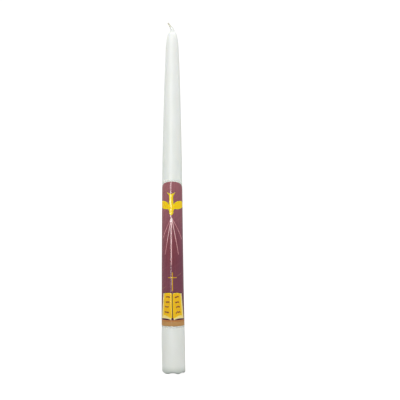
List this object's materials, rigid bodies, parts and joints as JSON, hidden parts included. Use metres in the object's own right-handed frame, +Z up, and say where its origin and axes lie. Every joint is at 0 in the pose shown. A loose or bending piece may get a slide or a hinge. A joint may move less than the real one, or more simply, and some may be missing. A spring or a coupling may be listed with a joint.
{
  "type": "ceremonial taper candle",
  "caption": "White dipped taper candle with a plaited cotton wick and an arched printed transfer wrapped part of the way around its lower half.",
  "frame": {"origin": "centre of the base, on the surface the candle stands on", "axes": "+Z up the candle to the wick; -Y is the side the middle of the transfer faces; +X is to the viewer's right of it; the wick leans towards -X"},
  "size_m": [0.021, 0.021, 0.3134],
  "materials": {
    "wax_core": "satin paraffin wax",
    "wax_coat": "satin white dipped wax",
    "wick": "plaited cotton",
    "clear_film": "clear gloss film",
    "maroon_ink": "gloss print",
    "streak_ink": "gloss print",
    "white_ink": "gloss print",
    "gold_ink": "gloss print",
    "dark_ink": "gloss print",
    "cream_ink": "gloss print",
    "brown_ink": "gloss print",
    "ochre_ink": "gloss print",
    "taupe_ink": "gloss print"
  },
  "bodies": {
    "root": {"wax_core": "wax_core", "overdip_coat": "wax_coat", "wick_strand_a": "wick", "wick_strand_b": "wick", "wick_strand_c": "wick", "wick_wax_sleeve": "wax_coat", "decal_carrier_film": "clear_film", "ground_print": "maroon_ink", "light_streaks_print": "streak_ink", "dove_print": "gold_ink", "rays_print": "white_ink", "cross_print": "gold_ink", "book_cover_print": "dark_ink", "page_edge_left_print": "cream_ink", "page_edge_right_print": "cream_ink", "page_left_print": "gold_ink", "page_right_print": "gold_ink", "script_marks_print": "brown_ink", "table_line_print": "ochre_ink", "table_band_print": "taupe_ink"}
  },
  "joints": []
}
